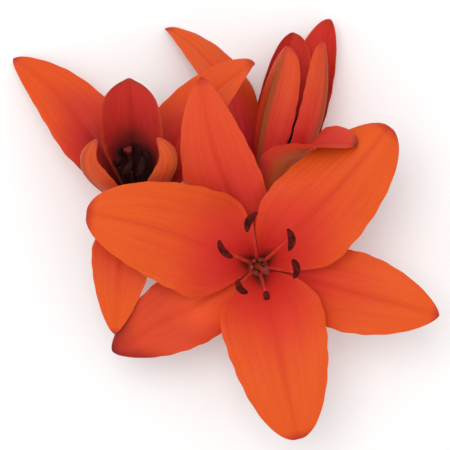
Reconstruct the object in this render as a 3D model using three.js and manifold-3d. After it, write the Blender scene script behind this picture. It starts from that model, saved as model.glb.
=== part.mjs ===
// Cut stem of an orange asiatic lily with three blooms, lying on a flat surface.
// Millimetres. +X runs to the right, +Y up along the stem, +Z up from the surface.
// The origin is the middle of the part's box, on the surface.
import * as THREE from "three";
import { mergeVertices } from "three/addons/utils/BufferGeometryUtils.js";
import Module from "manifold-3d";

const wasm = await Module();
wasm.setup();

// Middle of the part's box in the coordinates that the places below are given in
const BOX_MIDDLE = new THREE.Vector3(-1.56, 0.36, 0);

// Blade of a tepal or a bract
const BLADE_THICKNESS = 0.8;
const BLADE_ROWS = 12;
const BLADE_COLUMNS = 8;
const MIDRIB_STEPS = 400;
const TIP_CROWDING = 0.5;
const NARROWEST = 0.03;
const LEAST_CUP = 0.0001;

// Groove along the middle of a tepal's inner face
const GROOVE_DEPTH = 0.9;
const GROOVE_WIDTH = 1.6;
const GROOVE_START = 0.17;

// How the waves of a margin die away towards the ends and towards the midrib,
// and how far the left margin's waves run ahead of the right one's
const WAVE_SPREAD = 0.7;
const WAVE_EDGE = 2.5;
const WAVE_STEP = 0.3;

// Where the parts of a bloom stand on its receptacle
const RECEPTACLE_RADIUS = 6.4;
const INNER_RING = 4.2;
const OUTER_RING = 5.4;
const TEPAL_LIFT = 0.4;
const STAMEN_RING = 2.6;
const FILAMENT_RADIUS = 0.8;
const FILAMENT_SIDES = 6;
const FILAMENT_STEPS = 5;
const FILAMENT_TAPER = 0.3;
const FILAMENT_COURSE = [[0, 0], [0.1, 0.25], [0.45, 0.6], [1, 1]];
const COLLAR_INNER = 1.9;
const COLLAR_OUTER = 3.3;
const COLLAR_FOOT = 0.3;
const COLLAR_HEIGHT = 0.9;
const COLLAR_SIDES = 18;
const OVARY_RADIUS = 1.45;
const OVARY_LENGTH = 13;
const STYLE_RADIUS = 0.8;
const STIGMA_RADIUS = 1.8;
const STIGMA_LENGTH = 2.5;
const STIGMA_LOBES = 3;
const STIGMA_LOBE_DEPTH = 0.2;
const PISTIL_COURSE = [[0, 0.35], [0.4, 0.7], [1, 1]];
const PISTIL_FOOT = 0.3;
const PISTIL_SIDES = 9;
const PISTIL_STEPS = 12;
const ANTHER_LENGTH = 9.2;
const ANTHER_RADIUS = 1.55;
const ANTHER_BEND = 1.6;
const ANTHER_GAP = 0.75;
const ANTHER_END = 0.3;
const ANTHER_STATIONS = [-0.5, -0.25, 0, 0.25, 0.5];
const ANTHER_SIDES = 6;
const ANTHER_STEPS = 6;

// Stem and the stalks of the blooms
const STEM_RADIUS = 4;
const STEM_MIDDLE = 3.4;
const STEM_SIDES = 12;
const STEM_STEPS = 10;
const STALK_RADIUS = 2.2;
const STALK_SIDES = 12;
const STALK_STEPS = 14;
const FLARE_LENGTH = 8;
const STRAIGHT_END = 5;

// Outlines: width of the claw as a share of the full width, place of the widest point,
// how fast the blade widens up to it, and how the edge closes at the tip
const INNER = { ring: INNER_RING, claw: 0.17, widest: 0.4, swell: 1.25, blunt: 1.7, close: 0.6 };
const OUTER = { ring: OUTER_RING, claw: 0.2, widest: 0.42, swell: 1.15, blunt: 1.8, close: 0.72 };
const CUPPED = { ring: INNER_RING, claw: 0.24, widest: 0.6, swell: 1.5, blunt: 1.9, close: 0.62 };
const BRACT = { ring: 0, claw: 0.5, widest: 0.35, swell: 1, blunt: 1.2, close: 1 };

// Every list of five numbers runs evenly from the base of the tepal to its tip, in degrees:
// lean from the bloom's axis, turn of the midrib to the left, cup of each half, roll about the midrib.
// lift_left and lift_right raise a margin, as a share of the half width.
const BLOOMS = {
  front: {
    base: [14, -17.4, 16],
    toward: 0,
    tilt: 0,
    tepals: {
      inner_left: {
        ...INNER, heading: 157, length: 82.5, width: 45.5, widest: 0.38, blunt: 1.5, close: 0.45,
        lean: [24, 48, 70, 84, 98], cup: [60, 20, 8, -8, -20], turn: [0, 0, 4, 10, 16],
        lift_right: [0, 0.08, 0.25, 0.28, 0.1], wave: 1, waves: 2.2, phase: 0.1,
      },
      inner_upper_right: {
        ...INNER, heading: 43.5, length: 87.5, width: 41, blunt: 1.7, close: 0.45,
        lean: [24, 48, 70, 85, 102], cup: [60, 20, 8, -8, -16], turn: [0, 1, 3, 6, 10],
        lift_left: [0, 0, -0.3, -0.55, -0.55], wave: 1, waves: 2.4, phase: 0.3,
      },
      inner_lower: {
        ...INNER, heading: 285, length: 80, width: 43.5, widest: 0.35, blunt: 1.6, close: 0.48,
        lean: [24, 48, 70, 84, 100], cup: [60, 20, 8, -4, -16], turn: [0, -1, -3, -3, 0],
        wave: 1, waves: 2.5, phase: 0.6,
      },
      outer_right: {
        ...OUTER, heading: -15, length: 78, width: 34, widest: 0.5,
        lean: [46, 60, 70, 82, 94], cup: [30, 10, 4, 0, -10],
        wave: 0.8, waves: 2, phase: 0.2,
      },
      outer_lower_left: {
        ...OUTER, heading: 210, length: 71, width: 33,
        lean: [46, 62, 80, 98, 114], cup: [30, 10, 4, 0, -10],
        wave: 0.8, waves: 2, phase: 0.7,
      },
      outer_upper: {
        ...OUTER, heading: 114.5, length: 85, width: 32,
        lean: [44, 57, 68, 80, 92], cup: [30, 10, 4, 0, 0], turn: [0, -2, -6, -13, -21],
      },
    },
    stamens: [
      { heading: 100, reach: 19.5, height: 42, point: 62, rise: 10 },
      { heading: 154, reach: 15.8, height: 41, point: 128, rise: -10 },
      { heading: 45, reach: 17, height: 43, point: 94, rise: 12 },
      { heading: -6, reach: 14.1, height: 42, point: 94, rise: -34 },
      { heading: 218, reach: 10.5, height: 43, point: 125, rise: 42 },
      { heading: 284, reach: 9.6, height: 43, point: 100, rise: 78 },
    ],
    pistil: { heading: -20, reach: 2.6, height: 47 },
  },
  left: {
    base: [-37, 4.5, 13],
    toward: 94,
    tilt: 46,
    tepals: {
      outer_upper_left: {
        ...OUTER, heading: 134, length: 89, width: 29.5, blunt: 1.4,
        lean: [22, 38, 60, 79, 91], cup: [30, 20, 10, 5, 5], turn: [0, 1, 0, 1, 2],
        roll: [0, -8, -16, -20, -16],
      },
      outer_upper_right: {
        ...OUTER, heading: 37, length: 81, width: 35, blunt: 1.9, close: 0.62,
        lean: [24, 34, 44, 52, 58], cup: [30, 20, 10, 5, 5], turn: [0, 4, -3, -16, -31],
      },
      outer_lower: {
        ...OUTER, heading: 259.5, length: 55, width: 27, widest: 0.37, blunt: 1.4,
        lean: [54, 98, 126, 136, 140], cup: [30, 20, 10, 5, 0],
      },
      inner_upper: {
        ...CUPPED, heading: 89, length: 62.5, width: 31.5, blunt: 3, close: 0.5,
        lean: [16, 18, 14, 4, 0], cup: [40, 55, 60, 60, 40],
      },
      inner_lower_left: {
        ...CUPPED, heading: 213, length: 58, width: 22, claw: 0.34, widest: 0.4, blunt: 1.8, close: 0.62,
        lean: [18, 27, 30, 6, -80], cup: [40, 55, 70, 80, 60], turn: [0, 0, 4, 10, -10],
      },
      inner_lower_right: {
        ...CUPPED, heading: -29, length: 56, width: 22, claw: 0.34, widest: 0.4, blunt: 1.8, close: 0.62,
        lean: [18, 26, 28, 6, -80], cup: [40, 55, 70, 80, 60], turn: [0, 0, 0, -4, 10],
      },
    },
    stamens: [30, 90, 150, 210, 270, 330].map((heading) => (
      { heading, reach: 6, height: 30, point: heading + 80, rise: 60 })),
    pistil: { heading: 130, reach: 2, height: 37 },
  },
  upper: {
    base: [16.5, 8.5, 16.5],
    toward: 74,
    tilt: 86,
    tepals: {
      inner_near_left: {
        ...CUPPED, heading: 212, length: 68, width: 25, claw: 0.32, widest: 0.54, blunt: 2.3, close: 0.5,
        lean: [20, 18, 8, -2, -8], cup: [40, 50, 60, 60, 50],
      },
      inner_near_right: {
        ...CUPPED, heading: 315, length: 75, width: 23.5, claw: 0.32, widest: 0.54, blunt: 2.4, close: 0.5,
        lean: [20, 18, 3, -14, -26], cup: [40, 55, 60, 60, 50], turn: [0, 0, 3, 6, 9],
      },
      inner_far_left: {
        ...CUPPED, heading: 106, length: 75, width: 28, blunt: 2.6, close: 0.5,
        lean: [20, 18, 8, -2, -6], cup: [40, 55, 60, 60, 50],
      },
      outer_far_right: {
        ...OUTER, heading: 56, length: 85.5, width: 26.5, blunt: 2.2, close: 0.55,
        lean: [24, 19, 8, -4, -8], cup: [30, 45, 50, 50, 50],
      },
      outer_left: {
        ...OUTER, heading: 148, length: 89, width: 30,
        lean: [23, 27, 39, 60, 82], cup: [30, 35, 20, 0, 0], roll: [0, 0, -20, -30, -30],
      },
      outer_near_right: {
        ...OUTER, heading: 269, length: 58, width: 25, blunt: 2.2, close: 0.55,
        lean: [28, 32, 43, 67, 86], cup: [30, 35, 20, 0, 0], turn: [0, 4, 18, 49, 67],
        roll: [0, 0, 20, 45, 60], lift_left: [0, -0.3, 0, 0, 0], lift_right: [0, 0, 0.2, 0.7, 0.7],
      },
    },
    stamens: [33, 106, 158, 211, 261, 312].map((heading) => (
      { heading, reach: 6, height: 38, point: heading + 80, rise: 70 })),
    pistil: { heading: 90, reach: 0.5, height: 46 },
  },
};

// Routes of the stem's middle line and of each stalk, which ends at the bloom's receptacle
const STEM_ROUTE = [
  [23, -76, STEM_MIDDLE], [14, -48, STEM_MIDDLE], [3, -20, STEM_MIDDLE], [-4, 2, STEM_MIDDLE],
];
const STALK_ROUTES = {
  front: [[7, -34, 4.2], [10.5, -27, 5.2], [13, -20.5, 8.5]],
  left: [[-4, 1, 4], [-14, -4, 4.6], [-28, -6.5, 5.6], [-36.5, -4, 8]],
  upper: [[-4, 1, 4], [2, -4, 6.5], [9, -5.5, 11], [14, 0, 14.6]],
};

const BRACTS = {
  bract_low: {
    ...BRACT, base: [0.5, -27, 4], heading: 190, length: 26, width: 7,
    lean: [70, 78, 86, 94, 98], cup: [20, 30, 30, 20, 10],
  },
  bract_top: {
    ...BRACT, base: [-4.4, 3.5, 3.8], heading: 105, length: 24, width: 6,
    lean: [70, 78, 86, 94, 98], cup: [20, 30, 30, 20, 10],
  },
};

const COLOURS = {
  orange: { color: 0xe2592b, roughness: 0.45 },
  filament: { color: 0xc23f2e, roughness: 0.5 },
  anther: { color: 0x5e1d12, roughness: 0.85 },
  pistil: { color: 0x9f7a3a, roughness: 0.5 },
  green: { color: 0x5d7f36, roughness: 0.55 },
};

const UP = new THREE.Vector3(0, 0, 1);
const radians = THREE.MathUtils.degToRad;

// Smooth curve through values at even stations from 0 to 1
function along(values, t) {
  const last = values.length - 1;
  const station = Math.min(Math.floor(THREE.MathUtils.clamp(t, 0, 1) * last), last - 1);
  const part = THREE.MathUtils.clamp(t, 0, 1) * last - station;
  const at = (i) => {
    if (i < 0) return 2 * values[0] - values[1];
    if (i > last) return 2 * values[last] - values[last - 1];
    return values[i];
  };
  const [a, b, c, d] = [at(station - 1), at(station), at(station + 1), at(station + 2)];
  const bend = 2 * a - 5 * b + 4 * c - d + part * (3 * (b - c) + d - a);
  return b + 0.5 * part * (c - a + part * bend);
}

// Half width of a blade at t, as a share of its greatest half width
function outline(spec, t) {
  if (t < spec.widest) {
    const grown = Math.pow(t / spec.widest, spec.swell);
    return spec.claw + (1 - spec.claw) * Math.sin((Math.PI / 2) * grown);
  }
  const toTip = Math.min((t - spec.widest) / (1 - spec.widest), 1);
  return Math.max(Math.pow(1 - Math.pow(toTip, spec.blunt), spec.close), NARROWEST);
}

// Frames along the midrib: a small step of length for each, leaning away from the axis
function midribFrames(spec) {
  const heading = radians(spec.heading);
  const outward = new THREE.Vector3(Math.cos(heading), Math.sin(heading), 0);
  const leftward = new THREE.Vector3(-Math.sin(heading), Math.cos(heading), 0);
  const place = outward.clone().multiplyScalar(spec.ring).addScaledVector(UP, TEPAL_LIFT);
  const step = spec.length / MIDRIB_STEPS;
  const frames = [];
  for (let i = 0; i <= MIDRIB_STEPS; i += 1) {
    const t = i / MIDRIB_STEPS;
    const lean = radians(along(spec.lean, t));
    const turn = radians(spec.turn ? along(spec.turn, t) : 0);
    const roll = radians(spec.roll ? along(spec.roll, t) : 0);
    const out = outward.clone().multiplyScalar(Math.cos(turn)).addScaledVector(leftward, Math.sin(turn));
    const forward = UP.clone().multiplyScalar(Math.cos(lean)).addScaledVector(out, Math.sin(lean));
    const side = leftward.clone().multiplyScalar(Math.cos(turn)).addScaledVector(outward, -Math.sin(turn));
    side.applyAxisAngle(forward, roll);
    const face = new THREE.Vector3().crossVectors(forward, side);
    if (i > 0) {
      place.addScaledVector(frames[i - 1].forward, step / 2).addScaledVector(forward, step / 2);
    }
    frames.push({ place: place.clone(), forward, side, face });
  }
  return frames;
}

// Gentle waves of the margins, out of step on the two sides
function marginWave({ wave, waves, phase }, t, v) {
  const strength = Math.pow(Math.sin(Math.PI * t), WAVE_SPREAD) * Math.pow(Math.abs(v), WAVE_EDGE);
  const shift = phase + (v > 0 ? WAVE_STEP : 0);
  return wave * strength * Math.sin(2 * Math.PI * (waves * t + shift));
}

// Depth of the groove at a distance from the midrib, running out at the base
function groove(distance, t) {
  return GROOVE_DEPTH * Math.exp(-Math.pow(distance / GROOVE_WIDTH, 2)) * Math.min(t / GROOVE_START, 1);
}

// Point of a blade's middle surface: t runs from base to tip, v from margin to margin
function bladePoint(spec, frames, t, v) {
  const frame = frames[Math.round(t * MIDRIB_STEPS)];
  const half = (spec.width / 2) * outline(spec, t);
  const cup = radians(along(spec.cup, t)) || LEAST_CUP;
  const across = (half * Math.sin(cup * v)) / cup;
  let height = (half * (1 - Math.cos(cup * v))) / cup;
  const lift = v > 0 ? spec.lift_left : spec.lift_right;
  height += half * (lift ? along(lift, t) : 0) * v * v;
  height += spec.wave ? marginWave(spec, t, v) : 0;
  height -= groove(v * half, t);
  return frame.place.clone().addScaledVector(frame.side, across).addScaledVector(frame.face, height);
}

// Rows of a blade, closer together towards the tip
function rowPlaces() {
  const rows = [];
  for (let i = 0; i <= BLADE_ROWS; i += 1) {
    const s = i / BLADE_ROWS;
    rows.push((1 - TIP_CROWDING) * s + TIP_CROWDING * Math.sin((Math.PI / 2) * s));
  }
  return rows;
}

// Closed blade: the middle surface moved half the thickness to each side, with a rim
function blade(spec) {
  const frames = midribFrames(spec);
  const rows = rowPlaces();
  const columns = BLADE_COLUMNS + 1;
  const middle = rows.map((t) => Array.from({ length: columns }, (_, j) => (
    bladePoint(spec, frames, t, (2 * j) / BLADE_COLUMNS - 1))));
  const positions = [];
  for (const side of [0.5, -0.5]) {
    for (let i = 0; i < rows.length; i += 1) {
      for (let j = 0; j < columns; j += 1) {
        const downRow = middle[Math.min(i + 1, rows.length - 1)][j];
        const upRow = middle[Math.max(i - 1, 0)][j];
        const right = middle[i][Math.min(j + 1, columns - 1)];
        const left = middle[i][Math.max(j - 1, 0)];
        const lengthways = downRow.clone().sub(upRow);
        const normal = lengthways.cross(right.clone().sub(left)).normalize();
        const point = middle[i][j].clone().addScaledVector(normal, side * BLADE_THICKNESS);
        positions.push(point.x, point.y, point.z);
      }
    }
  }
  return closedBlade(positions, rows.length, columns);
}

// Triangles of a blade, split alike on both faces
function closedBlade(positions, rows, columns) {
  const back = rows * columns;
  const at = (i, j) => i * columns + j;
  const faces = [];
  for (let i = 0; i < rows - 1; i += 1) {
    for (let j = 0; j < columns - 1; j += 1) {
      const [a, b, c, d] = [at(i, j), at(i + 1, j), at(i + 1, j + 1), at(i, j + 1)];
      faces.push(a, b, c, a, c, d);
      faces.push(back + a, back + c, back + b, back + a, back + d, back + c);
    }
  }
  const rim = [];
  for (let j = 0; j < columns; j += 1) rim.push(at(0, j));
  for (let i = 1; i < rows; i += 1) rim.push(at(i, columns - 1));
  for (let j = columns - 2; j >= 0; j -= 1) rim.push(at(rows - 1, j));
  for (let i = rows - 2; i > 0; i -= 1) rim.push(at(i, 0));
  rim.forEach((a, k) => {
    const b = rim[(k + 1) % rim.length];
    faces.push(a, b, back + b, a, back + b, back + a);
  });
  return geometryOf(positions, faces);
}

function geometryOf(positions, faces) {
  const geometry = new THREE.BufferGeometry();
  geometry.setAttribute("position", new THREE.Float32BufferAttribute(positions, 3));
  geometry.setIndex(faces);
  return geometry;
}

// Closed round body swept along a smooth route; radiusAt gives its radius, flatten may move a point
function sweep(route, steps, sides, radiusAt, flatten = (point) => point) {
  const curve = new THREE.CatmullRomCurve3(route);
  const { normals, binormals } = curve.computeFrenetFrames(steps, false);
  const positions = [];
  for (let i = 0; i <= steps; i += 1) {
    const centre = curve.getPointAt(i / steps);
    for (let j = 0; j < sides; j += 1) {
      const angle = (2 * Math.PI * j) / sides;
      const radius = radiusAt(i / steps, angle);
      const point = centre.clone()
        .addScaledVector(normals[i], radius * Math.cos(angle))
        .addScaledVector(binormals[i], radius * Math.sin(angle));
      flatten(point);
      positions.push(point.x, point.y, point.z);
    }
  }
  return closedRings(positions, steps + 1, sides);
}

// Triangles between the rings of a swept body, with a fan over each end ring
function closedRings(positions, rings, sides) {
  const faces = [];
  for (let i = 0; i < rings - 1; i += 1) {
    for (let j = 0; j < sides; j += 1) {
      const next = (j + 1) % sides;
      const [a, b] = [i * sides + j, i * sides + next];
      faces.push(a, b, b + sides, a, b + sides, a + sides);
    }
  }
  const top = (rings - 1) * sides;
  for (let j = 1; j < sides - 1; j += 1) {
    faces.push(0, j + 1, j, top, top + j, top + j + 1);
  }
  return geometryOf(positions, faces);
}

// Solid of a closed geometry, for joining
function solidOf(geometry) {
  const welded = mergeVertices(geometry);
  const vertProperties = new Float32Array(welded.attributes.position.array);
  const triVerts = new Uint32Array(welded.index.array);
  return new wasm.Manifold(new wasm.Mesh({ numProp: 3, vertProperties, triVerts }));
}

// One geometry of several that grow into each other
function joined(geometries) {
  const whole = geometries.map(solidOf).reduce((sum, next) => sum.add(next));
  const { vertProperties, triVerts } = whole.getMesh();
  return geometryOf(Array.from(vertProperties), Array.from(triVerts));
}

function vector(place) {
  return new THREE.Vector3(...place);
}

// Point of the bloom's own frame at a distance from its axis and a height above its receptacle
function polar(heading, radius, height) {
  const angle = radians(heading);
  return new THREE.Vector3(radius * Math.cos(angle), radius * Math.sin(angle), height);
}

// Ring that the filaments grow from, round the foot of the ovary
function collar() {
  const top = COLLAR_FOOT + COLLAR_HEIGHT;
  const profile = [
    new THREE.Vector2(COLLAR_INNER, COLLAR_FOOT),
    new THREE.Vector2(COLLAR_OUTER, COLLAR_FOOT),
    new THREE.Vector2(COLLAR_OUTER, top),
    new THREE.Vector2(COLLAR_INNER, top),
    new THREE.Vector2(COLLAR_INNER, COLLAR_FOOT),
  ];
  const ring = new THREE.LatheGeometry(profile, COLLAR_SIDES).rotateX(Math.PI / 2);
  ring.deleteAttribute("normal");
  ring.deleteAttribute("uv");
  return ring;
}

// Route of a filament: upright at its foot, then leaning out to its reach
function filamentRoute({ heading, reach, height }) {
  return FILAMENT_COURSE.map(([outward, upward]) => (
    polar(heading, STAMEN_RING + (reach - STAMEN_RING) * outward, COLLAR_FOOT + height * upward)));
}

function filament(stamen) {
  const radiusAt = (t) => FILAMENT_RADIUS * (1 - FILAMENT_TAPER * t);
  return sweep(filamentRoute(stamen), FILAMENT_STEPS, FILAMENT_SIDES, radiusAt);
}

// Bean balanced across the tip of its filament, its ends bent in towards the bloom's axis
function anther(stamen) {
  const [, , before, tip] = filamentRoute(stamen);
  const forward = tip.clone().sub(before).normalize();
  const point = radians(stamen.point);
  const rise = radians(stamen.rise);
  const axis = new THREE.Vector3(
    Math.cos(point) * Math.cos(rise), Math.sin(point) * Math.cos(rise), Math.sin(rise));
  const away = forward.addScaledVector(axis, -forward.dot(axis)).normalize();
  const middle = tip.clone().addScaledVector(away, ANTHER_GAP + ANTHER_RADIUS);
  const outward = polar(stamen.heading, 1, 0);
  const bulge = outward.addScaledVector(axis, -outward.dot(axis)).normalize();
  const route = ANTHER_STATIONS.map((share) => (
    middle.clone()
      .addScaledVector(axis, share * ANTHER_LENGTH)
      .addScaledVector(bulge, -ANTHER_BEND * Math.pow(2 * share, 2))));
  const radiusAt = (t) => ANTHER_RADIUS * Math.max(Math.sqrt(1 - Math.pow(2 * t - 1, 2)), ANTHER_END);
  return sweep(route, ANTHER_STEPS, ANTHER_SIDES, radiusAt);
}

// Ovary, style and lobed stigma in one body
function pistil({ heading, reach, height }) {
  const foot = new THREE.Vector3(0, 0, PISTIL_FOOT);
  const route = PISTIL_COURSE.map(([outward, upward]) => polar(heading, reach * outward, height * upward));
  route.unshift(foot);
  const radiusAt = (t, angle) => {
    const place = t * height;
    if (place < OVARY_LENGTH) return OVARY_RADIUS;
    if (height - place > STIGMA_LENGTH) return STYLE_RADIUS;
    return STIGMA_RADIUS * (1 + STIGMA_LOBE_DEPTH * Math.cos(STIGMA_LOBES * angle));
  };
  return sweep(route, PISTIL_STEPS, PISTIL_SIDES, radiusAt);
}

// Direction of a bloom's axis, tilted from upright
function tiltOf(bloom) {
  const toward = radians(bloom.toward);
  const hinge = new THREE.Vector3(-Math.sin(toward), Math.cos(toward), 0);
  return new THREE.Quaternion().setFromAxisAngle(hinge, radians(bloom.tilt));
}

// Stalk from the stem to a bloom, flaring into the receptacle that the bloom's parts stand on
function stalk(name) {
  const bloom = BLOOMS[name];
  const axis = UP.clone().applyQuaternion(tiltOf(bloom));
  const end = vector(bloom.base);
  const route = STALK_ROUTES[name].map(vector);
  route.push(end.clone().addScaledVector(axis, -STRAIGHT_END), end);
  const length = new THREE.CatmullRomCurve3(route).getLength();
  const radiusAt = (t) => {
    const flare = Math.max(1 - ((1 - t) * length) / FLARE_LENGTH, 0);
    return STALK_RADIUS + (RECEPTACLE_RADIUS - STALK_RADIUS) * flare * flare;
  };
  return sweep(route, STALK_STEPS, STALK_SIDES, radiusAt);
}

// Stem with its three stalks, grown as one body, lying on a narrow flat
function stem() {
  const flatten = (point) => point.setZ(Math.max(point.z, 0));
  const main = sweep(STEM_ROUTE.map(vector), STEM_STEPS, STEM_SIDES, () => STEM_RADIUS, flatten);
  return joined([main, ...Object.keys(BLOOMS).map(stalk)]);
}

function part(name, geometry, colour) {
  const material = new THREE.MeshStandardMaterial({ ...COLOURS[colour], metalness: 0 });
  const mesh = new THREE.Mesh(geometry, material);
  mesh.name = name;
  return mesh;
}

// One bloom, in a group of its own that stands on its receptacle
function bloomGroup(name) {
  const bloom = BLOOMS[name];
  const group = new THREE.Group();
  group.position.set(...bloom.base);
  group.quaternion.copy(tiltOf(bloom));
  for (const [place, spec] of Object.entries(bloom.tepals)) {
    group.add(part(`${name}_${place}`, blade(spec), "orange"));
  }
  group.add(part(`${name}_filaments`, joined([collar(), ...bloom.stamens.map(filament)]), "filament"));
  bloom.stamens.forEach((stamen, i) => {
    group.add(part(`${name}_anther_${i + 1}`, anther(stamen), "anther"));
  });
  group.add(part(`${name}_pistil`, pistil(bloom.pistil), "pistil"));
  return group;
}

function bractPart([name, spec]) {
  const mesh = part(name, blade(spec), "green");
  mesh.position.set(...spec.base);
  return mesh;
}

function buildLily() {
  const lily = new THREE.Group();
  lily.add(part("stem", stem(), "green"));
  Object.keys(BLOOMS).forEach((name) => lily.add(bloomGroup(name)));
  Object.entries(BRACTS).map(bractPart).forEach((mesh) => lily.add(mesh));
  lily.position.copy(BOX_MIDDLE).negate();
  return lily;
}

export default buildLily();
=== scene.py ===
"""Cut stem of an orange asiatic lily with three blooms, dressed over its solid frame.

Every petal, stamen, pistil, stalk and small leaf is a grid worked out with numpy from the
same named sizes as the solids, in millimetres, and is put into its mesh in metres.
"""

import bpy
import numpy as np
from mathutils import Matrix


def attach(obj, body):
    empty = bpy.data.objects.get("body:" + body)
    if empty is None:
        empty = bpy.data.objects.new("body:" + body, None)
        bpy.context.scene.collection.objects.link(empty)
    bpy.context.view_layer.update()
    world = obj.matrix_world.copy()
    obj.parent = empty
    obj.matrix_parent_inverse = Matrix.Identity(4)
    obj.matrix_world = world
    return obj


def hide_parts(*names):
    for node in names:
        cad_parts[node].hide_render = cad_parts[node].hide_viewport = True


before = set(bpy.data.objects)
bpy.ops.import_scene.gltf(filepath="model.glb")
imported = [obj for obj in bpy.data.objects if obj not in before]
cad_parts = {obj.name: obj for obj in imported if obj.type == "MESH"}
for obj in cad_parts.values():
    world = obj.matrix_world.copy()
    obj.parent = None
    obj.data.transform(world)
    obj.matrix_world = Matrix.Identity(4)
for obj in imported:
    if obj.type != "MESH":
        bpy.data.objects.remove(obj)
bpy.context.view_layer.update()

METRES = 0.001
SMALLEST_LENGTH = 1e-12

# Middle of the part's box in the coordinates that the places below are given in
BOX_MIDDLE = np.array([-1.56, 0.36, 0.0])

# Camera, looking straight down
CAMERA_HEIGHT = 900
CAMERA_LENS = 166.8
CAMERA_SENSOR = 36

# Floor and lights
FLOOR_SIZE = 6
FLOOR_COLOUR = (0.9, 0.9, 0.9, 1)
FLOOR_ROUGHNESS = 0.9
SURROUNDINGS_COLOUR = (1, 1, 1, 1)
SURROUNDINGS_STRENGTH = 0.92
LAMP_SIZE = 1.0
LAMP_POWER = 8
LAMP_PLACE = (-0.25, 0.3, 1.5)

# Grid of a blade, and its edges
BLADE_THICKNESS = 0.8
BLADE_ROWS = 130
BLADE_COLUMNS = 56
MIDRIB_STEPS = 400
TIP_CROWDING = 0.5
NARROWEST = 0.03
LEAST_CUP = 0.0001
MARGIN_ROUNDING = 10
MARGIN_THINNING = 0.5
END_ROUNDING = 60

# Groove along the middle of a petal's inner face
GROOVE_DEPTH = 0.9
GROOVE_WIDTH = 1.6
GROOVE_START = 0.17

# Waves, pleats and ripples of a blade. A drift shifts them as they run along it, and the
# ripples are lower on a blade that is narrower than the last width
WAVE_SPREAD = 0.7
WAVE_EDGE = 2.5
WAVE_STEP = 0.3
RELIEF_FADE = 0.5
PLEAT_HEIGHT = 0.05
PLEATS = 5.5
PLEAT_DRIFT = 2
RIPPLE_HEIGHT = 0.2
RIPPLE_WIDTH = 0.01
RIPPLES = 9
RIPPLE_EDGE = 6
RIPPLE_DRIFT = 1.5
RIPPLE_HALF_DRIFTS = 3
RIPPLE_FULL_WIDTH = 40

# Where the parts of a bloom stand on its receptacle
RECEPTACLE_RADIUS = 6.4
INNER_RING = 4.2
OUTER_RING = 5.4
TEPAL_LIFT = 0.4
STAMEN_RING = 2.6
COLLAR_INNER = 1.9
COLLAR_OUTER = 3.3
COLLAR_FOOT = 0.3
COLLAR_HEIGHT = 0.9
COLLAR_SQUARENESS = 4
COLLAR_GRID = (72, 24)

# Stamens
FILAMENT_RADIUS = 0.8
FILAMENT_TAPER = 0.3
FILAMENT_COURSE = [[0, 0], [0.1, 0.25], [0.45, 0.6], [1, 1]]
FILAMENT_GRID = (60, 16)
ANTHER_LENGTH = 9.2
ANTHER_RADIUS = 1.55
ANTHER_BEND = 1.6
ANTHER_GAP = 0.75
ANTHER_END = 0.006
ANTHER_SWELL = 0.05
ANTHER_HALF_SWELLS = 3
ANTHER_FURROW = 0.22
ANTHER_FURROW_WIDTH = 0.3
ANTHER_FURROW_PLACES = (90, 180, 270)
ANTHER_GRID = (60, 40)

# Pistil
OVARY_RADIUS = 1.45
OVARY_LENGTH = 13
OVARY_LOBES = 3
OVARY_LOBE_DEPTH = 0.06
NECK_BLEND = 0.8
STYLE_RADIUS = 0.8
STIGMA_RADIUS = 1.8
STIGMA_LENGTH = 2.5
STIGMA_LOBES = 3
STIGMA_LOBE_DEPTH = 0.2
STIGMA_BLEND = 0.5
STIGMA_DOME = 1
STIGMA_END = 0.01
PISTIL_FOOT = 0.3
PISTIL_COURSE = [[0, 0.35], [0.4, 0.7], [1, 1]]
PISTIL_GRID = (120, 36)

# Stem and the stalks of the blooms
STEM_RADIUS = 4
STEM_MIDDLE = 3.4
STEM_RIBS = 9
STEM_RIB_HEIGHT = 0.02
STALK_RADIUS = 2.2
STALK_RIBS = 6
STALK_RIB_HEIGHT = 0.03
FLARE_LENGTH = 8
FLARE_COLOUR_FADE = 4
STRAIGHT_END = 5
STEM_GRID = (120, 48)
ROUTE_FINENESS = 40

# Outlines: width of the claw as a share of the full width, place of the widest point,
# how fast the blade widens up to it, and how the edge closes at the tip
INNER = dict(ring=INNER_RING, claw=0.17, widest=0.4, swell=1.25, blunt=1.7, close=0.6)
OUTER = dict(ring=OUTER_RING, claw=0.2, widest=0.42, swell=1.15, blunt=1.8, close=0.72)
CUPPED = dict(ring=INNER_RING, claw=0.24, widest=0.6, swell=1.5, blunt=1.9, close=0.62)
BRACT = dict(ring=0, claw=0.5, widest=0.35, swell=1, blunt=1.2, close=1)

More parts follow.
